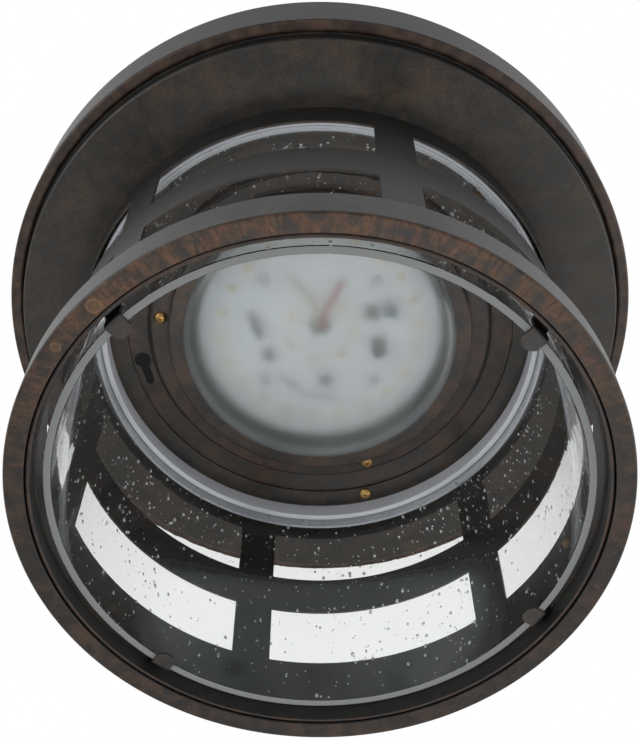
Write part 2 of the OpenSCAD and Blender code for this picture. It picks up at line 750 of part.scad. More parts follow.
module neutral_wire() {
    color("#e3dcb4") wire(neutral_route, wire_r);
}

module solder_joints() {
    color("#c9ccd0") for (route = [live_route, neutral_route])
        translate([route[0][0], route[0][1] - solder_shift, board_z - solder_h])
            cylinder(r1 = solder_tip_r, r2 = solder_r, h = solder_h, $fn = 32);
}

module terminal_block() {
    color("#e6e6e0") difference() {
        translate([-block_x / 2, block_front, block_low_z]) cube([block_x, block_y, block_h]);
        for (x = port_x) {
            translate([x, block_front - cut_margin, port_z]) rotate([-90, 0, 0])
                cylinder(r = port_r, h = block_y + 2 * cut_margin, $fn = 32);
            translate([x, block_front + sleeve_inset, port_z]) rotate([-90, 0, 0])
                cylinder(r = sleeve_r + seat_gap, h = block_y - 2 * sleeve_inset, $fn = 40);
            for (y = clamp_y) translate([x, y, port_z])
                cylinder(r = clamp_head_r + pass_gap, h = block_top_z - port_z + cut_margin, $fn = 32);
        }
        for (x = boss_x) {
            translate([x, block_mid, block_low_z - cut_margin])
                cylinder(r = block_screw_r + pass_gap, h = block_h + 2 * cut_margin, $fn = 24);
            translate([x, block_mid, block_top_z - block_screw_well])
                cylinder(r = block_screw_head_r + pass_gap, h = block_screw_well + cut_margin, $fn = 32);
        }
    }
}

module terminal_sleeves() {
    color("#b9973f") for (x = port_x) difference() {
        translate([x, block_front + sleeve_inset, port_z]) rotate([-90, 0, 0])
            cylinder(r = sleeve_r, h = block_y - 2 * sleeve_inset, $fn = 40);
        translate([x, block_front - cut_margin, port_z]) rotate([-90, 0, 0])
            cylinder(r = sleeve_bore_r, h = block_y + 2 * cut_margin, $fn = 32);
        for (y = clamp_y) translate([x, y, port_z])
            cylinder(r = clamp_r + seat_gap, h = sleeve_r + cut_margin, $fn = 24);
    }
}

module terminal_screws() {
    color(steel) for (x = port_x, y = clamp_y) translate([x, y, 0])
        screw_down(clamp_seat_z, port_z + wire_r + seat_gap, clamp_r, clamp_head_r, clamp_head_h);
}

module block_screws() {
    color(steel) for (x = boss_x) translate([x, block_mid, 0])
        screw_down(block_top_z - block_screw_well, back_z, block_screw_r, block_screw_head_r, clamp_head_h);
}

module ground_stud() {
    color(steel) translate([stud_at[0], stud_at[1], back_z]) {
        cylinder(r = stud_foot_r, h = stud_foot_h, $fn = 40);
        translate([0, 0, stud_foot_h]) cylinder(r = stud_r, h = stud_h, $fn = 24);
    }
}

module ground_nut() {
    color("#3f7d46") translate([stud_at[0], stud_at[1], back_z + stud_foot_h + lug_t]) difference() {
        cylinder(r = m4_nut_r, h = m4_nut_h, $fn = 6);
        translate([0, 0, -cut_margin]) cylinder(r = stud_r + seat_gap, h = m4_nut_h + 2 * cut_margin, $fn = 24);
    }
}

// The ground wire ends in a ring lug that lies on the stud's foot, under the nut
module ground_wire() {
    last = ground_route[len(ground_route) - 1];
    lug_z = back_z + stud_foot_h;
    color("#3c8f4a") {
        wire(ground_route, wire_r);
        difference() {
            union() {
                translate([stud_at[0], stud_at[1], lug_z]) cylinder(r = lug_r, h = lug_t, $fn = 40);
                translate([last[0] - 1.5, last[1] - 1.6, lug_z])
                    cube([stud_at[0] - last[0] - lug_r + 2.5, 3.2, lug_t]);
                translate([last[0] - 1.5, last[1] - 1.4, lug_z]) cube([3.5, 2.8, last[2] - lug_z + 1.2]);
            }
            translate([stud_at[0], stud_at[1], lug_z - cut_margin])
                cylinder(r = stud_r + seat_gap, h = lug_t + 2 * cut_margin, $fn = 24);
        }
    }
}

canopy();
cage_band();
ring_hoop();
bottom_ring();
glass_cylinder();
glass_gasket();
mounting_pan();
canopy_screws();
canopy_nuts();
diffuser_ring();
diffuser_screws();
diffuser();
diffuser_seal();
thermal_pad();
led_board();
led_chips();
board_screws();
driver_chips();
bridge_rectifier();
smoothing_capacitor();
surge_varistor();
fuse_resistor();
board_resistors();
wire_grommet();
live_wire();
neutral_wire();
solder_joints();
terminal_block();
terminal_sleeves();
terminal_screws();
block_screws();
ground_stud();
ground_nut();
ground_wire();
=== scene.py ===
import math
import random

import bmesh
import bpy
from mathutils import Matrix, Vector


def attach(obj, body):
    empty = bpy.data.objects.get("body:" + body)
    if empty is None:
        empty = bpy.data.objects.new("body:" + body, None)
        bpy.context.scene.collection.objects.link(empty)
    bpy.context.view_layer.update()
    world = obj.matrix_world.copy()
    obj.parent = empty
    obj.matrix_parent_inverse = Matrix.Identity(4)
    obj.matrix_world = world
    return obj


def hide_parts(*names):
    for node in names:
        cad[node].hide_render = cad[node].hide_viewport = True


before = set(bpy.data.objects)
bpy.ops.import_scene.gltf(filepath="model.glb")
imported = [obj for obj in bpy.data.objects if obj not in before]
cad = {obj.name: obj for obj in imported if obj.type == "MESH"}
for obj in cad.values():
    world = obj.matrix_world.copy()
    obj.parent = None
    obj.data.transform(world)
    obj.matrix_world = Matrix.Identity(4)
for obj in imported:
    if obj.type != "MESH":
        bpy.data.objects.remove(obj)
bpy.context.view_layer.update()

mm = 0.001

# The light hangs from z = 0. Profiles are in millimetres: radius, height, rounding of the corner.


# camera, lamps and room

cameraView = {"place": (0, -0.3314, -0.6748), "tilt": 29.23, "lens": 64.84, "sensor": 36}

lamps = {
    "leftWindow": {"place": (-1.3, -0.7, -1.0), "size": 1.2, "watts": 9},
    "rightWindow": {"place": (1.4, 0.2, -0.9), "size": 1.2, "watts": 7},
    "fromBelow": {"place": (0.1, 0.5, -1.5), "size": 1.0, "watts": 4},
}
lampAim = (0, 0, -0.1)

room = {
    "floorHeight": -1.6,
    "floorSize": 6,
    "floorColour": (0.86, 0.86, 0.85, 1),
    "ambient": 0.5,        # light that reaches matt surfaces
    "ceilingGlow": 0.25,   # what gloss sees straight above
    "overhead": (0.914, 0.950),       # the ray's height where that begins and is full
    "darkSide": (0, -0.86, -0.51),    # gloss sees a dark room behind the camera
    "darkEdge": (0.38, 0.62),
    "darkGlow": 0.05,
    "patchRadius": 0.158,
    "patchHeight": 0.0004,
    "patchPaintedGlow": 0.013,
}


def addCamera(view):
    data = bpy.data.cameras.new("camera")
    data.lens = view["lens"]
    data.sensor_width = view["sensor"]
    data.clip_start = 0.01
    holder = bpy.data.objects.new("camera", data)
    holder.location = view["place"]
    holder.rotation_euler = (math.radians(180 - view["tilt"]), 0, 0)
    bpy.context.scene.collection.objects.link(holder)
    bpy.context.scene.camera = holder


def addLamp(name, settings):
    data = bpy.data.lights.new(name, "AREA")
    data.shape = "DISK"
    data.size = settings["size"]
    data.energy = settings["watts"]
    holder = bpy.data.objects.new(name, data)
    holder.location = settings["place"]
    aim = Vector(lampAim) - holder.location
    holder.rotation_euler = aim.to_track_quat("-Z", "Y").to_euler()
    bpy.context.scene.collection.objects.link(holder)


# node helpers

def addNode(tree, kind, sockets=None, **settings):
    node = tree.nodes.new("ShaderNode" + kind)
    for key, value in settings.items():
        setattr(node, key, value)
    for key, value in (sockets or {}).items():
        if isinstance(value, bpy.types.NodeSocket):
            tree.links.new(value, node.inputs[key])
        else:
            node.inputs[key].default_value = value
    return node


def addMath(tree, operation, first, second=0.0, clamp=False):
    return addNode(tree, "Math", {0: first, 1: second}, operation=operation, use_clamp=clamp).outputs[0]


def multiply(tree, first, *others):
    for other in others:
        first = addMath(tree, "MULTIPLY", first, other)
    return first


def addNoise(tree, coords, scale, detail, rough=0.5, distort=0.0):
    return addNode(tree, "TexNoise", {
        "Vector": coords, "Scale": scale, "Detail": detail, "Roughness": rough, "Distortion": distort,
    }).outputs["Fac"]


def addRange(tree, value, low, high, toLow=0.0, toHigh=1.0):
    return addNode(tree, "MapRange", {
        "Value": value, "From Min": low, "From Max": high, "To Min": toLow, "To Max": toHigh,
    }, interpolation_type="SMOOTHSTEP").outputs["Result"]


def addScale(tree, vector, amount):
    return addNode(tree, "VectorMath", {0: vector, "Scale": amount}, operation="SCALE").outputs[0]


def addMix(tree, amount, first, second):
    return addNode(tree, "Mix", {0: amount, 6: first, 7: second}, data_type="RGBA").outputs[2]


def addBump(tree, height, strength, distance, under=None):
    sockets = {"Height": height, "Strength": strength, "Distance": distance}
    if under:
        sockets["Normal"] = under
    return addNode(tree, "Bump", sockets).outputs["Normal"]


def newMaterial(name):
    material = bpy.data.materials.new(name)
    material.use_nodes = True
    tree = material.node_tree
    shader = tree.nodes["Principled BSDF"]
    coords = addNode(tree, "TexCoord").outputs["Object"]
    return material, tree, shader, coords


def stretch(tree, coords, scale):
    return addNode(tree, "Mapping", {"Vector": coords, "Scale": scale}).outputs["Vector"]


def setWorld(settings):
    world = bpy.data.worlds.new("room")
    bpy.context.scene.world = world
    world.use_nodes = True
    tree = world.node_tree
    tree.nodes.clear()
    path = addNode(tree, "LightPath").outputs
    seen = addMath(tree, "MAXIMUM", path["Is Camera Ray"], path["Is Transmission Ray"])
    direction = addNode(tree, "TexCoord").outputs["Generated"]
    height = addNode(tree, "SeparateXYZ", {0: direction}).outputs["Z"]
    glow = addRange(tree, height, *settings["overhead"], 1.0, settings["ceilingGlow"])
    behind = addNode(tree, "VectorMath", {0: direction, 1: settings["darkSide"]}, operation="DOT_PRODUCT")
    behind = behind.outputs["Value"]
    lit = addRange(tree, behind, *settings["darkEdge"], 1.0, settings["darkGlow"])
    gloss = multiply(tree, glow, lit, path["Is Glossy Ray"])
    level = addMath(tree, "MAXIMUM", seen, gloss)
    onlyLight = addMath(tree, "SUBTRACT", 1.0, addMath(tree, "MAXIMUM", seen, path["Is Glossy Ray"]))
    level = addMath(tree, "ADD", level, multiply(tree, onlyLight, settings["ambient"]))
    white = addNode(tree, "Background", {"Color": (1, 1, 1, 1), "Strength": level})
    out = addNode(tree, "OutputWorld")
    tree.links.new(white.outputs[0], out.inputs["Surface"])


def addObject(name, bm):
    mesh = bpy.data.meshes.new(name)
    bm.to_mesh(mesh)
    bm.free()
    piece = bpy.data.objects.new(name, mesh)
    bpy.context.scene.collection.objects.link(piece)
    return piece


def addDisc(name, radius, height, segments):
    bm = bmesh.new()
    bmesh.ops.create_circle(bm, cap_ends=True, segments=segments, radius=radius,
                            matrix=Matrix.Translation((0, 0, height)))
    return addObject(name, bm)


def addFloor(settings):
    floor = addDisc("floor", settings["floorSize"], settings["floorHeight"], 64)
    material, tree, shader, coords = newMaterial("floor")
    grain = addNoise(tree, coords, 6, 4)
    r, g, b, a = settings["floorColour"]
    tree.links.new(addMix(tree, grain, (r, g, b, a), (r * 0.96, g * 0.96, b * 0.96, a)), shader.inputs["Base Color"])
    shader.inputs["Roughness"].default_value = 0.9
    floor.data.materials.append(material)


def addCeilingPatch(settings):
    # what the light is screwed to: dark from below, clear from above so that the wiring shows. It takes no light, and
    # its faint painted glow sets the shade seen through the keyholes
    patch = addDisc("ceilingPatch", settings["patchRadius"], settings["patchHeight"], 96)
    material, tree, shader = newMaterial("ceilingPatch")[:3]
    shader.inputs["Base Color"].default_value = (0.03, 0.03, 0.03, 1)
    shader.inputs["Roughness"].default_value = 1
    # painted glow: the faint shade-level light seen through the keyholes
    shader.inputs["Emission Color"].default_value = (1, 0.97, 0.94, 1)
    shader.inputs["Emission Strength"].default_value = settings["patchPaintedGlow"]
    clear = addNode(tree, "BsdfTransparent")
    fromAbove = addNode(tree, "NewGeometry").outputs["Backfacing"]
    if patch.data.polygons[0].normal.z > 0:
        fromAbove = addMath(tree, "SUBTRACT", 1.0, fromAbove)
    both = addNode(tree, "MixShader", {0: fromAbove, 1: shader.outputs[0], 2: clear.outputs[0]})
    tree.links.new(both.outputs[0], tree.nodes["Material Output"].inputs["Surface"])
    patch.data.materials.append(material)
    patch.visible_diffuse = False
    patch.visible_shadow = False


bpy.context.scene.view_settings.view_transform = "Standard"
addCamera(cameraView)
for lampName, lampSettings in lamps.items():
    addLamp(lampName, lampSettings)
setWorld(room)
addFloor(room)
addCeilingPatch(room)
print("room, lamps and camera ready")


# finishes

# the paint's noises: scale, detail, roughness, distortion
paintGrain = {
    "cloud": (48, 2, 0.5),
    "mottle": (150, 2, 0.45),
    "scratch": (300, 3, 0.6, 1.8),
    "spots": (210, 4, 0.7, 0.6),
    "speck": (700, 2, 0.6),
    "stroke": (520, 2, 0.5),
}

# noise values between which a wear begins and is full, and for some the factor at both ends
paintRange = {
    "down": (-0.45, -0.85),    # of the normal's height: the walls stay plain
    "brown": (0.40, 0.60),
    "shade": (0.3, 0.7, 0.74, 1.26),
    "bandShade": (0.36, 0.64),
    "cloudWorn": (0.46, 0.66),
    "mottleWorn": (0.22, 0.62),
    "strokeWorn": (0.34, 0.60),
    "speckWorn": (0.25, 0.60, 0.55, 1.0),
    "spotWorn": (0.60, 0.74),
    "scratchLine": (0.972, 0.996),
    "scratchPlace": (0.42, 0.62),
    "wallCloud": (0.35, 0.65),
    "wallShade": (0.3, 0.7, 0.8, 1.2),
    "peel": (0.0, 1.0, 0.02, 0.07),    # orange peel, weaker on the walls
}

paintWearAndSheen = {
    "sheenSide": (0.01, -0.135),    # painted sheen: the ring turns more and more coppery between these places along Y, most on the near side
    "strokeCircle": 0.136,         # radial strokes are drawn on a circle of this radius
    "strokeSlow": 0.2,             # and change this much slower along the radius
    "wornShare": 0.5,
    "fleckShare": 0.7,
    "scratchShare": (0.22, 0.4),   # everywhere, and more on the near side as painted sheen
    "bandBlur": 0.0002,
    "bandTone": (0.55, 1.35),
    "wallTone": 1.35,
    "markWander": 0.003,
    "markRim": (0.22, 0.12, 0.06, 1),
    "markMiddle": (0.24, 0.13, 0.04, 1),
    "roughness": 0.43,
    "roughSpread": 0.35,
}

bumpDepth = 0.0002

# what all the paints share, unless their own row says otherwise
plainPaint = {
    "copper": (0.150, 0.060, 0.024), "brownShare": 0.8, "rub": 0.3, "streaks": 0.0, "nearSheen": 0.0,
    "bands": [], "marks": [], "gloss": 0.5,
}

paints = {
    "canopyPaint": {
        "wall": (0.0160, 0.0155, 0.0150), "dark": (0.025, 0.0235, 0.021), "brown": (0.039, 0.032, 0.0255),
        "copper": (0.165, 0.078, 0.032), "brownShare": 0.7, "rub": 0.26, "seed": 0.0,
        # the first band is painted shade in the groove, the second is the bead's own browner paint
        "bands": [(158.2, 159.8, (0.010, 0.0095, 0.009)), (159.8, 167, (0.046, 0.027, 0.019))],
    },
    "cagePaint": {
        "wall": (0.0150, 0.0145, 0.0140), "dark": (0.018, 0.017, 0.016), "brown": (0.040, 0.027, 0.020),
        "brownShare": 0.6, "rub": 0.2, "seed": 0.31,
    },
    "ringPaint": {
        "wall": (0.0420, 0.0418, 0.0410), "dark": (0.016, 0.014, 0.012), "brown": (0.040, 0.024, 0.016),
        "copper": (0.185, 0.084, 0.038), "brownShare": 0.9, "streaks": 0.85, "nearSheen": 0.90, "seed": 0.57,
        "marks": [(-89.1, -96.0, -202.6, 3.8), (-106.6, -77.7, -202.6, 2.6)], "gloss": 0.42,
    },
    "hoopPaint": {
        "wall": (0.0150, 0.0145, 0.0140), "dark": (0.026, 0.021, 0.019), "brown": (0.050, 0.030, 0.022),
        "streaks": 0.5, "seed": 0.83,
    },
    "panPaint": {
        "wall": (0.0170, 0.0160, 0.0150), "dark": (0.027, 0.025, 0.023), "brown": (0.058, 0.040, 0.030),
        "brownShare": 0.75, "rub": 0.25, "bands": [(103, 113, (0.060, 0.036, 0.026))], "seed": 0.19,
    },
    "trimPaint": {
        "wall": (0.0170, 0.0160, 0.0150), "dark": (0.030, 0.027, 0.025), "brown": (0.064, 0.044, 0.034),
        "copper": (0.160, 0.066, 0.026), "streaks": 0.3, "seed": 0.43,
    },
}


def paintBand(tree, colour, radius, mottle, low, high, tint):
    # a band of its own tone between two radii: a rolled bead's browner paint, or the groove's painted shade
    blur = paintWearAndSheen["bandBlur"]
    band = multiply(tree, addRange(tree, radius, low * mm - blur, low * mm + blur),
                    addRange(tree, radius, high * mm + blur, high * mm - blur))
    shade, bright = ((*(part * tone for part in tint), 1) for tone in paintWearAndSheen["bandTone"])
    return addMix(tree, band, colour, addMix(tree, addRange(tree, mottle, *paintRange["bandShade"]), shade, bright))


def paintMark(tree, colour, coords, mottle, place, size):
    # a round worn spot with a lighter rim
    away = addNode(tree, "VectorMath", {0: coords, 1: place}, operation="DISTANCE").outputs["Value"]
    wander = multiply(tree, addMath(tree, "SUBTRACT", mottle, 0.5), paintWearAndSheen["markWander"])
    away = addMath(tree, "ADD", away, wander)
    rim = multiply(tree, addRange(tree, away, size, size * 0.85, 0.0, 0.5),
                   addRange(tree, away, size * 0.45, size * 0.75))
    colour = addMix(tree, rim, colour, paintWearAndSheen["markRim"])
    middle = addRange(tree, away, size * 0.7, size * 0.2, 0.0, 0.35)
    return addMix(tree, middle, colour, paintWearAndSheen["markMiddle"])


def bronzePaint(name, ownLook):
    # dark paint with brown clouds on what looks down, rubbed through to copper in places, with more copper on the
    # near side as painted sheen
    look = {**plainPaint, **ownLook}
    dark, brown, copper, wallTint = ((*look[key], 1) for key in ("dark", "brown", "copper", "wall"))
    lighter = (*(part * paintWearAndSheen["wallTone"] for part in look["wall"]), 1)
    material, tree, shader, coords = newMaterial(name)
    seed = look["seed"]
    shifted = addNode(tree, "VectorMath", {0: coords, 1: (seed, seed * 0.7, -seed)}).outputs[0]
    flat = addNode(tree, "VectorMath", {0: coords, 1: (1, 1, 0)}, operation="MULTIPLY").outputs[0]
    radius = addNode(tree, "VectorMath", {0: flat}, operation="LENGTH").outputs["Value"]
    around = addNode(tree, "VectorMath", {0: flat}, operation="NORMALIZE").outputs[0]
    around = addScale(tree, around, paintWearAndSheen["strokeCircle"])
    along = addNode(tree, "CombineXYZ", {"Z": multiply(tree, radius, paintWearAndSheen["strokeSlow"])}).outputs[0]
    stroke = addNode(tree, "VectorMath", {0: around, 1: along}).outputs[0]
    noise = {key: addNoise(tree, stroke if key == "stroke" else shifted, *grain)
             for key, grain in paintGrain.items()}

    def ranged(key, rangeName, *ends):
        return addRange(tree, noise[key], *paintRange[rangeName], *ends)

    def add(firstValue, secondValue, clamp=False):
        return addMath(tree, "ADD", firstValue, secondValue, clamp=clamp)

    share = add(multiply(tree, noise["cloud"], 0.5), multiply(tree, noise["mottle"], 0.5))
    share = addRange(tree, share, *paintRange["brown"], 0.0, look["brownShare"])
    colour = addScale(tree, addMix(tree, share, dark, brown), ranged("speck", "shade"))
    for low, high, tint in look["bands"]:
        colour = paintBand(tree, colour, radius, noise["mottle"], low, high, tint)

    # painted sheen: the wear, flecks and scratches grow towards the near side, standing in for the brighter sheen
    # that side shows
    depth = addNode(tree, "SeparateXYZ", {0: coords}).outputs["Y"]
    near = addRange(tree, depth, *paintWearAndSheen["sheenSide"], 0.0, look["nearSheen"])
    wearAndSheen = multiply(tree, add(ranged("cloud", "cloudWorn", 0.0, look["rub"]), near, True),
                    ranged("mottle", "mottleWorn"), ranged("stroke", "strokeWorn", 1.0 - look["streaks"], 1.0),
                    ranged("speck", "speckWorn"), paintWearAndSheen["wornShare"])
    flecksAndSheen = multiply(tree, ranged("spots", "spotWorn"), add(near, look["rub"]), paintWearAndSheen["fleckShare"])
    colour = addMix(tree, addMath(tree, "MAXIMUM", wearAndSheen, flecksAndSheen), colour, copper)

    # thin lighter scratches, only where the brown is, with more of them on the near side as painted sheen
    middle = addMath(tree, "ABSOLUTE", addMath(tree, "SUBTRACT", noise["scratch"], 0.5))
    thin = addRange(tree, addMath(tree, "SUBTRACT", 1.0, middle), *paintRange["scratchLine"])
    everywhere, nearSheenShare = paintWearAndSheen["scratchShare"]
    thin = multiply(tree, thin, ranged("mottle", "scratchPlace"), add(multiply(tree, near, nearSheenShare), everywhere))
    colour = addMix(tree, thin, colour, copper)
    for x, y, z, size in look["marks"]:
        colour = paintMark(tree, colour, coords, noise["mottle"], (x * mm, y * mm, z * mm), size * mm)

    normal = addNode(tree, "SeparateXYZ", {0: addNode(tree, "TexCoord").outputs["Normal"]}).outputs["Z"]
    down = addRange(tree, normal, *paintRange["down"])
    wall = addScale(tree, addMix(tree, ranged("cloud", "wallCloud"), wallTint, lighter), ranged("speck", "wallShade"))
    tree.links.new(addMix(tree, down, wall, colour), shader.inputs["Base Color"])
    spread = multiply(tree, addMath(tree, "SUBTRACT", noise["mottle"], 0.5), down, paintWearAndSheen["roughSpread"])
    tree.links.new(add(spread, paintWearAndSheen["roughness"]), shader.inputs["Roughness"])
    shader.inputs["IOR"].default_value = 1.48
    shader.inputs["Specular IOR Level"].default_value = look["gloss"]
    peel = addBump(tree, noise["speck"], addRange(tree, down, *paintRange["peel"]), bumpDepth)
    tree.links.new(peel, shader.inputs["Normal"])
    return material


def plainFinish(name, colour, second, roughness, scale=300, metallic=0.0):
    material, tree, shader, coords = newMaterial(name)
    grain = addNoise(tree, coords, scale, 3, 0.6)
    blotches = addNoise(tree, coords, 60, 2)
    amount = addRange(tree, multiply(tree, addMath(tree, "ADD", grain, blotches), 0.5), 0.36, 0.64)
    tree.links.new(addMix(tree, amount, (*colour, 1), (*second, 1)), shader.inputs["Base Color"])
    tree.links.new(addRange(tree, grain, 0.3, 0.7, *roughness), shader.inputs["Roughness"])
    shader.inputs["Metallic"].default_value = metallic
    tree.links.new(addBump(tree, grain, 0.08, bumpDepth), shader.inputs["Normal"])
    return material


def seededGlass():
    material, tree, shader, coords = newMaterial("seededGlass")
    wave = addNoise(tree, stretch(tree, coords, (1, 1, 0.28)), 62, 2, 0.5, 0.4)
    ripple = addNoise(tree, stretch(tree, coords, (1, 1, 0.2)), 210, 2, 0.5)
    tint = addMix(tree, addNoise(tree, coords, 20, 2), (0.875, 0.895, 0.885, 1), (0.905, 0.92, 0.91, 1))
    tree.links.new(tint, shader.inputs["Base Color"])
    tree.links.new(addRange(tree, ripple, 0.2, 0.8, 0.0, 0.02), shader.inputs["Roughness"])
    shader.inputs["IOR"].default_value = 1.5
    shader.inputs["Transmission Weight"].default_value = 1
    normal = addBump(tree, wave, 0.07, 0.0016)
    tree.links.new(addBump(tree, ripple, 0.04, 0.0006, normal), shader.inputs["Normal"])
    return material


def cutGlass():
    material, tree, shader, coords = newMaterial("cutGlass")
    grain = addNoise(tree, coords, 900, 3, 0.7)
    tree.links.new(addMix(tree, grain, (0.19, 0.20, 0.20, 1), (0.25, 0.26, 0.26, 1)), shader.inputs["Base Color"])
    tree.links.new(addRange(tree, grain, 0.3, 0.7, 0.5, 0.65), shader.inputs["Roughness"])
    tree.links.new(addBump(tree, grain, 0.2, bumpDepth), shader.inputs["Normal"])
    return material


def seedPaintedGlint():
    material, tree, shader, coords = newMaterial("seedPaintedGlint")
    # painted glint: the clear gas bubbles get a whitish, half opaque colour for the light they catch
    grain = addNoise(tree, coords, 400, 2)
    tree.links.new(addMix(tree, grain, (0.80, 0.82, 0.82, 1), (0.92, 0.93, 0.93, 1)), shader.inputs["Base Color"])
    tree.links.new(addRange(tree, grain, 0.3, 0.7, 0.25, 0.35), shader.inputs["Roughness"])
    shader.inputs["IOR"].default_value = 1.3
    shader.inputs["Transmission Weight"].default_value = 0.68
    return material


def clearSilicone():
    material, tree, shader, coords = newMaterial("clearSilicone")
    cloud = addNoise(tree, coords, 45, 3)
    tint = addMix(tree, cloud, (0.78, 0.80, 0.87, 1), (0.86, 0.88, 0.93, 1))
    tree.links.new(tint, shader.inputs["Base Color"])
    tree.links.new(addRange(tree, cloud, 0.3, 0.7, 0.28, 0.42), shader.inputs["Roughness"])
    shader.inputs["IOR"].default_value = 1.42
    shader.inputs["Transmission Weight"].default_value = 0.25
    tree.links.new(addBump(tree, addNoise(tree, coords, 260, 2), 0.12, 0.0003), shader.inputs["Normal"])
    return material


def opalPlastic():
    material, tree, shader, coords = newMaterial("opalPlastic")
    cloud = addNoise(tree, coords, 30, 2)
    tree.links.new(addMix(tree, cloud, (0.76, 0.81, 0.835, 1), (0.80, 0.84, 0.865, 1)), shader.inputs["Base Color"])
    tree.links.new(addRange(tree, cloud, 0.3, 0.7, 0.33, 0.37), shader.inputs["Roughness"])
    shader.inputs["IOR"].default_value = 1.49
    shader.inputs["Transmission Weight"].default_value = 0.985
    tree.links.new(addBump(tree, addNoise(tree, coords, 700, 2), 0.05, 0.0001), shader.inputs["Normal"])
    return material


# two colours, the roughness from and to, the grain's scale if it isn't 300, and 1.0 for a metal
plainLooks = {
    "brass": ((0.52, 0.34, 0.13), (0.36, 0.20, 0.07), (0.28, 0.42), 500, 1.0),
    "zincSteel": ((0.58, 0.59, 0.60), (0.42, 0.43, 0.45), (0.30, 0.45), 450, 1.0),
    "whiteSilicone": ((0.72, 0.72, 0.70), (0.62, 0.62, 0.60), (0.45, 0.6)),
    "greySilicone": ((0.30, 0.33, 0.38), (0.24, 0.27, 0.32), (0.6, 0.75)),
    "boardWhite": ((0.80, 0.80, 0.78), (0.72, 0.72, 0.70), (0.35, 0.5), 900),
    "ledYellow": ((0.86, 0.56, 0.16), (0.76, 0.44, 0.10), (0.3, 0.4), 1500),
    "blackPart": ((0.022, 0.022, 0.024), (0.034, 0.034, 0.036), (0.4, 0.55), 1200),
    "brownPart": ((0.10, 0.08, 0.065), (0.07, 0.055, 0.045), (0.4, 0.55), 1200),
    "blueGreyPart": ((0.18, 0.24, 0.30), (0.14, 0.19, 0.25), (0.3, 0.45), 900),
    "greyPart": ((0.15, 0.18, 0.21), (0.11, 0.14, 0.17), (0.3, 0.45), 900),
    "blackRubber": ((0.018, 0.018, 0.019), (0.028, 0.028, 0.029), (0.6, 0.75), 900),
    "redWire": ((0.50, 0.035, 0.025), (0.42, 0.025, 0.02), (0.35, 0.45), 800),
    "creamWire": ((0.74, 0.68, 0.52), (0.66, 0.60, 0.45), (0.35, 0.45), 800),
    "greenWire": ((0.03, 0.22, 0.06), (0.025, 0.17, 0.05), (0.35, 0.45), 800),
    "solderTin": ((0.62, 0.62, 0.62), (0.48, 0.48, 0.49), (0.25, 0.4), 900, 1.0),
    "whitePlastic": ((0.72, 0.72, 0.69), (0.66, 0.66, 0.63), (0.4, 0.5), 700),
    "greenPaint": ((0.03, 0.20, 0.07), (0.04, 0.26, 0.09), (0.3, 0.45), 500),
}

finishes = {
    "seededGlass": seededGlass(),
    "cutGlass": cutGlass(),
    "seedPaintedGlint": seedPaintedGlint(),
    "clearSilicone": clearSilicone(),
    "opalPlastic": opalPlastic(),
}
for plainName, plainLook in plainLooks.items():
    finishes[plainName] = plainFinish(plainName, *plainLook)
for paintName, paintLook in paints.items():
    finishes[paintName] = bronzePaint(paintName, paintLook)
print("finishes ready")


# mesh helpers, all in millimetres until finishPiece

cutTolerance = 0.0005


def turned(profile, steps, closed=False):
    # a body or an open sheet of revolution
    bm = bmesh.new()
    points = [(bm.verts.new((radius, 0, height)), rounding) for radius, height, rounding in profile]
    line = [vert for vert, rounding in points]
    for first, second in zip(line, line[1:]):
        bm.edges.new((first, second))
    if closed:
        bm.edges.new((line[-1], line[0]))
    for vert, rounding in points:
        if rounding:
            bmesh.ops.bevel(bm, geom=[vert], offset=rounding, offset_type="OFFSET", segments=4,
                            profile=0.5, affect="VERTICES", material=-1)
    bmesh.ops.spin(bm, geom=bm.verts[:] + bm.edges[:], cent=(0, 0, 0), axis=(0, 0, 1), dvec=(0, 0, 0),
                   angle=math.tau, steps=steps, use_merge=True, use_normal_flip=False, use_duplicate=False)
    bmesh.ops.remove_doubles(bm, verts=bm.verts, dist=0.001)
    bmesh.ops.recalc_face_normals(bm, faces=bm.faces)
    return bm


def faceOutward(bm):
    # an open sheet: the widest wall has to look away from the axis
    wall = max(bm.faces, key=lambda face: face.calc_center_median().xy.length - abs(face.normal.z) * 40)
    if wall.normal.xy.dot(wall.calc_center_median().xy) < 0:
        bmesh.ops.reverse_faces(bm, faces=bm.faces)


def cutFaces(bm, faces, place, across):
    # splits the faces where the plane passes them
    parts = set(faces)
    for face in faces:
        parts.update(face.edges)
        parts.update(face.verts)
    bmesh.ops.bisect_plane(bm, geom=list(parts), dist=cutTolerance, plane_co=place, plane_no=across)


def partsOf(geometry, kind):
    return [part for part in geometry if isinstance(part, kind)]


def finishPiece(name, bm, materials, replaced, wall=0.0, soften=0.0, sharp=40, shadow=True):
    bmesh.ops.scale(bm, vec=(mm, mm, mm), verts=bm.verts)
    for face in bm.faces:
        face.smooth = True
    piece = addObject(name, bm)
    for material in materials:
        piece.data.materials.append(finishes[material])
    if wall:
        solid = piece.modifiers.new("wall", "SOLIDIFY")
        solid.thickness = wall * mm
        solid.offset = -1
        solid.use_even_offset = True
    if soften:
        edge = piece.modifiers.new("edges", "BEVEL")
        edge.width = soften * mm
        edge.segments = 2
        edge.limit_method = "ANGLE"
        edge.angle_limit = math.radians(sharp)
        edge.harden_normals = True
    else:
        piece.data.set_sharp_from_angle(angle=math.radians(sharp))
    even = piece.modifiers.new("normals", "WEIGHTED_NORMAL")
    even.keep_sharp = True
    piece.visible_shadow = shadow
    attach(piece, "root")
    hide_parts(*replaced)


# canopy

canopy = {
    "sheet": 1.2,
    "profile": [(161.2, 0, 0), (166.2, 0, 1.6), (166.2, -35, 1.3), (160.5, -35, 1.3), (159.7, -33, 0.27),
                (158.5, -33, 0.4), (158.5, -41.5, 1.3), (103.4, -41.5, 0)],
    "softEdge": 0.25,
}


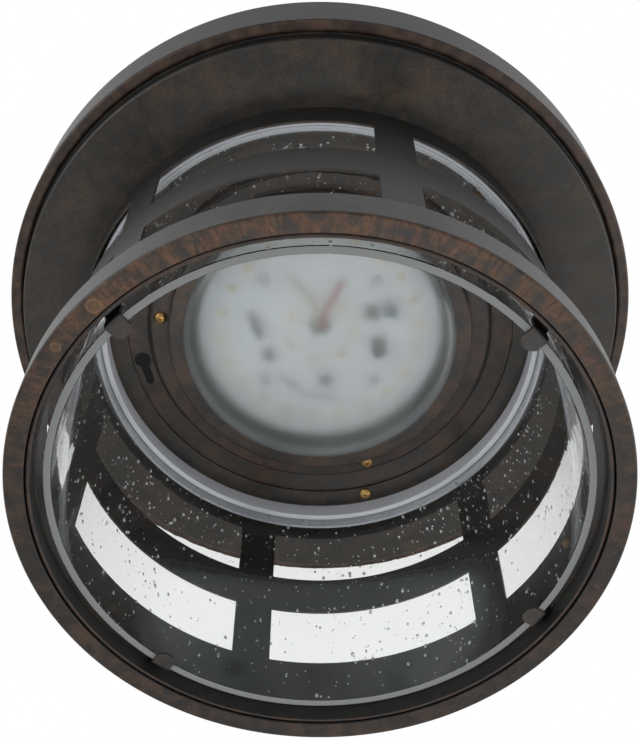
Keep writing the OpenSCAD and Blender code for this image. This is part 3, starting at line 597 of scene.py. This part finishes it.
def makeCanopy(size):
    bm = turned(size["profile"], 288)
    faceOutward(bm)
    finishPiece("canopy-shell", bm, ["canopyPaint"], ["canopy"], size["sheet"], size["softEdge"])


makeCanopy(canopy)
print("canopy ready")


# cage with its windows and the four bent tongues

cage = {
    "radius": 124.8,
    "sheet": 1.1,
    "levels": [-41.5, -62.1, -99.6, -126.3, -165.5, -187.5, -193.0],
    "windows": [(-99.6, -62.1), (-165.5, -126.3)],
    "posts": 6,
    "postWidth": 19.6,
    "postStart": 46.5,
    "tongueStart": [33.4, 128.6, 226.2, 317.7],
    "tongueWidth": 9.2,
    "slit": 0.6,
    "tongueCut": 2.6,
    "tongueSide": 100,    # only what lies further out than this, on the tongue's side, is cut for it
    "tongue": [(124.8, -188.3), (124.6, -189.0), (124.2, -189.5), (122.0, -191.2), (121.6, -191.6), (121.4, -192.2),
               (121.4, -197.3), (121.26, -198.0), (120.84, -198.64), (120.2, -199.06), (119.5, -199.2),
               (114.6, -199.2), (112.0, -199.2)],
    "softEdge": 0.22,
}


def bendTongue(bm, size, angle):
    out = Vector((math.cos(angle), math.sin(angle), 0))
    across = Vector((-out.y, out.x, 0))
    top, half, near = size["levels"][-2], size["tongueWidth"] / 2, size["tongueSide"]
    wide, touch = half + size["slit"], 0.01

    def lowestBand():
        return [face for face in bm.faces
                if face.calc_center_median().z < top and face.calc_center_median().dot(out) > near]

    for side in (-wide, -half, half, wide):
        cutFaces(bm, lowestBand(), across * side, across)
    notch = [face for face in lowestBand() if abs(face.calc_center_median().dot(across)) < wide]
    bmesh.ops.delete(bm, geom=notch, context="FACES")
    edges = [edge for edge in bm.edges
             if all(abs(vert.co.z - top) < touch and abs(vert.co.dot(across)) < half + touch
                    and vert.co.dot(out) > near for vert in edge.verts)]
    last = Vector((size["radius"], 0, top))
    for radius, height in size["tongue"]:
        grown = bmesh.ops.extrude_edge_only(bm, edges=edges)["geom"]
        edges = partsOf(grown, bmesh.types.BMEdge)
        narrow = 1.0 if (radius, height) != size["tongue"][-1] else (half - size["tongueCut"]) / half
        for vert in partsOf(grown, bmesh.types.BMVert):
            side = vert.co.dot(across) * narrow
            vert.co = out * math.sqrt(radius * radius - side * side) + across * side + Vector((0, 0, height))
        outward = out * (last.z - height) + Vector((0, 0, radius - last.x))
        for face in partsOf(grown, bmesh.types.BMFace):
            face.normal_update()
            if face.normal.dot(outward) < 0:
                face.normal_flip()
        last = Vector((radius, 0, height))


def makeCage(size):
    bm = turned([(size["radius"], level, 0) for level in size["levels"]], 240)
    faceOutward(bm)
    half = math.asin(size["postWidth"] / 2 / size["radius"])
    start, step = math.radians(size["postStart"]), math.tau / size["posts"]
    for number in range(size["posts"] // 2):
        for angle in (start + number * step + half, start + number * step - half):
            cutFaces(bm, bm.faces[:], (0, 0, 0), Vector((-math.sin(angle), math.cos(angle), 0)))
    openings = []
    for face in bm.faces:
        middle = face.calc_center_median()
        turn = (math.atan2(middle.y, middle.x) - start) % step
        if half < turn < step - half and any(low < middle.z < high for low, high in size["windows"]):
            openings.append(face)
    bmesh.ops.delete(bm, geom=openings, context="FACES")
    for angle in size["tongueStart"]:
        bendTongue(bm, size, math.radians(angle))
    finishPiece("cage-band", bm, ["cagePaint"], ["cage_band"], size["sheet"], size["softEdge"])


makeCage(cage)
print("cage ready")


# bottom ring and the hoop inside it

bottomRing = {
    "sheet": 1.2,
    "profile": [(125.0, -182.5, 0), (136.3, -182.5, 1.6), (136.3, -202.6, 1.3), (127.3, -202.6, 0)],
    "softEdge": 0.22,
}

hoop = {
    "profile": [(124.9, -201.9, 0.3), (126.9, -201.9, 1.3), (126.9, -183.7, 0.3), (124.9, -183.7, 0.3)],
}


def makeBottomRing(size):
    bm = turned(size["profile"], 288)
    faceOutward(bm)
    finishPiece("bottom-ring", bm, ["ringPaint"], ["bottom_ring"], size["sheet"], size["softEdge"])


def makeHoop(size):
    bm = turned(size["profile"], 288, closed=True)
    finishPiece("ring-hoop", bm, ["hoopPaint"], ["ring_hoop"])


makeBottomRing(bottomRing)
makeHoop(hoop)
print("bottom ring ready")


# glass cylinder with its seeds

glass = {
    "inner": 116.3,
    "outer": 120.0,
    "top": -43.5,
    "low": -197.8,
    "edge": 0.45,
    "edgeLoop": 1.2,    # keeps the walls flat up to the ground edges
    "randomSeed": 41,
    "seeds": 2200,
    "seedRadius": (0.26, 0.95),
    "smallShare": 2.7,    # the power that makes most seeds small
    "seedStretch": (1.2, 2.2),
    "seedMargin": 2.5,
    "skin": 0.15,         # glass that is left over a seed
    "clusters": 60,
    "clusterEvery": 3,
    "clusterMargin": 8,
    "clusterSpread": (0.06, 8),    # radians around, millimetres up and down
}


def makeSeed():
    ball = bmesh.new()
    bmesh.ops.create_uvsphere(ball, u_segments=8, v_segments=5, radius=1)
    for face in ball.faces:
        face.material_index = 2
    bmesh.ops.reverse_faces(ball, faces=ball.faces)      # the glass is outside the bubble
    mesh = bpy.data.meshes.new("seed")
    ball.to_mesh(mesh)
    ball.free()
    return mesh


def makeGlass(size):
    inner, outer, top, low, edge = (size[key] for key in ("inner", "outer", "top", "low", "edge"))
    loop, skin, margin = size["edgeLoop"], size["skin"], size["seedMargin"]
    bm = turned([(inner, low, edge), (outer, low, edge), (outer, low + loop, 0), (outer, top - loop, 0),
                 (outer, top, edge), (inner, top, edge), (inner, top - loop, 0), (inner, low + loop, 0)],
                288, closed=True)
    for face in bm.faces:
        if abs(face.normal.z) > 0.9:
            face.material_index = 1
    chance = random.Random(size["randomSeed"])
    inset = size["clusterMargin"]
    groups = [(chance.uniform(0, math.tau), chance.uniform(low + inset, top - inset))
              for number in range(size["clusters"])]
    seed = makeSeed()
    smallest, largest = size["seedRadius"]
    around, upDown = size["clusterSpread"]
    for number in range(size["seeds"]):
        if number % size["clusterEvery"]:
            angle, height = chance.uniform(0, math.tau), chance.uniform(low + margin, top - margin)
        else:
            angle, height = chance.choice(groups)
            angle += chance.gauss(0, around)
            height = min(max(height + chance.gauss(0, upDown), low + margin), top - margin)
        wide = smallest + (largest - smallest) * chance.random() ** size["smallShare"]
        tall = wide * chance.uniform(*size["seedStretch"])
        radius = chance.uniform(inner + wide + skin, outer - wide - skin)
        place = (Matrix.Rotation(angle, 4, "Z") @ Matrix.Translation((radius, 0, height))
                 @ Matrix.Diagonal((wide, wide, tall, 1)))
        seed.transform(place)
        bm.from_mesh(seed)
        seed.transform(place.inverted())
    bpy.data.meshes.remove(seed)
    finishPiece("seeded-glass", bm, ["seededGlass", "cutGlass", "seedPaintedGlint"], ["glass_cylinder"],
                shadow=False)


makeGlass(glass)
print("glass ready")


# gasket on the glass's upper edge

gasket = {
    "profile": [(113.25, -41.5, 0.2), (121.75, -41.5, 0.2), (121.75, -47.6, 0), (121.5, -48.0, 0.1),
                (121.75, -48.4, 0), (121.75, -54.5, 0.2), (121.25, -55, 0.2), (120.15, -55, 0.1),
                (120.15, -43.5, 0.2), (116.15, -43.5, 0.2), (116.15, -51.2, 0.1), (115.85, -51.5, 0.1),
                (113.55, -51.5, 0.3), (113.25, -51.2, 0.1)],
}


def makeGasket(size):
    bm = turned(size["profile"], 240, closed=True)
    finishPiece("glass-gasket", bm, ["clearSilicone"], ["glass_gasket"], sharp=55)


makeGasket(gasket)
print("gasket ready")


# diffuser and its ring

diffuserRing = {
    "sheet": 1.0,
    "profile": [(89.5, -44.5, 0), (80.8, -44.5, 0.6), (80.8, -51.0, 1.6), (72.7, -51.0, 0)],
    "softEdge": 0.2,
}

diffuser = {
    "wall": 1.8,
    "softEdge": 0.2,
    "profile": [(79.2, -50.0, 0), (72.3, -50.0, 0.5), (72.3, -52.2, 0), (71.2, -54.4, 0), (68.4, -56.4, 0),
                (63.5, -58.1, 0), (55.8, -59.4, 0), (44.6, -60.3, 0), (28.4, -60.8, 0), (12.2, -61.0, 0),
                (0, -61.0, 0)],
}


def makeDiffuserRing(size):
    bm = turned(size["profile"], 192)
    faceOutward(bm)
    finishPiece("diffuser-ring", bm, ["trimPaint"], ["diffuser_ring"], size["sheet"],
                size["softEdge"])


def makeDiffuser(size):
    bm = turned(size["profile"], 160)
    lowest = min(bm.faces, key=lambda face: face.calc_center_median().z)
    if lowest.normal.z > 0:
        bmesh.ops.reverse_faces(bm, faces=bm.faces)
    finishPiece("diffuser-dome", bm, ["opalPlastic"], ["diffuser"], size["wall"], size["softEdge"],
                shadow=False)


makeDiffuserRing(diffuserRing)
makeDiffuser(diffuser)
print("diffuser ready")


# brass screws of the canopy and of the diffuser ring

# the dome of a head: shares of its radius, and of its height from the lowest point
headCurve = [(0.42, 0.06), (0.70, 0.22), (0.90, 0.50), (1.0, 0.86)]

brassScrews = {
    "canopy-brass-screws": {
        "node": "canopy_screws", "angles": [76, 196, 316], "radius": 107.6, "seat": -41.5,
        "head": 3.7, "height": 2.4, "shank": 2.0, "top": -34.7, "recess": 1.25, "slot": 0.28, "deep": 0.9,
    },
    "diffuser-brass-screws": {
        "node": "diffuser_screws", "angles": [72, 187, 309.5], "radius": 85.2, "seat": -44.5,
        "head": 3.5, "height": 2.2, "shank": 1.75, "top": -39.3, "recess": 1.2, "slot": 0.26, "deep": 0.8,
    },
}


def makeScrews(name, size):
    head, seat, drop = size["head"], size["seat"], size["height"]
    low, below = seat - drop, seat - 0.2
    dome = [(head * out, low + drop * up, 0) for out, up in headCurve]
    bm = turned([(0, low, 0), *dome, (head * 0.96, seat, 0.15), (size["shank"], seat, 0.2),
                 (size["shank"], size["top"], 0.4), (0, size["top"], 0)], 40)
    long, thin = size["recess"], size["slot"]
    for axis in (Vector((1, 0, 0)), Vector((0, 1, 0))):
        for side in (-long, -thin, thin, long):
            cutFaces(bm, [face for face in bm.faces if face.calc_center_median().z < below], axis * side, axis)
    cross = []
    for face in bm.faces:
        middle = face.calc_center_median()
        narrow, wide = sorted((abs(middle.x), abs(middle.y)))
        if middle.z < below and wide < long and narrow < thin:
            cross.append(face)
    grown = bmesh.ops.extrude_face_region(bm, geom=cross)["geom"]
    bmesh.ops.delete(bm, geom=cross, context="FACES")
    floor = partsOf(grown, bmesh.types.BMVert)
    bmesh.ops.translate(bm, vec=(0, 0, size["deep"]), verts=floor)
    bmesh.ops.scale(bm, vec=(0.7, 0.7, 1), verts=floor)
    bmesh.ops.recalc_face_normals(bm, faces=bm.faces)
    bmesh.ops.translate(bm, vec=(size["radius"], 0, 0), verts=bm.verts)
    first = bm.verts[:] + bm.edges[:] + bm.faces[:]
    for number, angle in enumerate(size["angles"]):
        group, already = first, 0
        if number:
            group, already = bmesh.ops.duplicate(bm, geom=first)["geom"], size["angles"][0]
        bmesh.ops.rotate(bm, cent=(0, 0, 0), matrix=Matrix.Rotation(math.radians(angle - already), 3, "Z"),
                         verts=partsOf(group, bmesh.types.BMVert))
    finishPiece(name, bm, ["brass"], [size["node"]], sharp=50)


for screwName, screwSize in brassScrews.items():
    makeScrews(screwName, screwSize)
print("brass screws ready")


# the CAD pieces that stay, with their finishes

kept = {
    "mounting_pan": "panPaint",
    "terminal_sleeves": "brass",
    "canopy_nuts": "zincSteel",
    "board_screws": "zincSteel",
    "terminal_screws": "zincSteel",
    "block_screws": "zincSteel",
    "ground_stud": "zincSteel",
    "diffuser_seal": "whiteSilicone",
    "thermal_pad": "greySilicone",
    "led_board": "boardWhite",
    "led_chips": "ledYellow",
    "driver_chips": "blackPart",
    "board_resistors": "blackPart",
    "smoothing_capacitor": "blackPart",
    "bridge_rectifier": "brownPart",
    "surge_varistor": "blueGreyPart",
    "fuse_resistor": "greyPart",
    "wire_grommet": "blackRubber",
    "live_wire": "redWire",
    "neutral_wire": "creamWire",
    "ground_wire": "greenWire",
    "solder_joints": "solderTin",
    "terminal_block": "whitePlastic",
    "ground_nut": "greenPaint",
}

for node, finish in kept.items():
    for place in cad[node].material_slots:
        place.material = finishes[finish]
print("kept pieces painted")
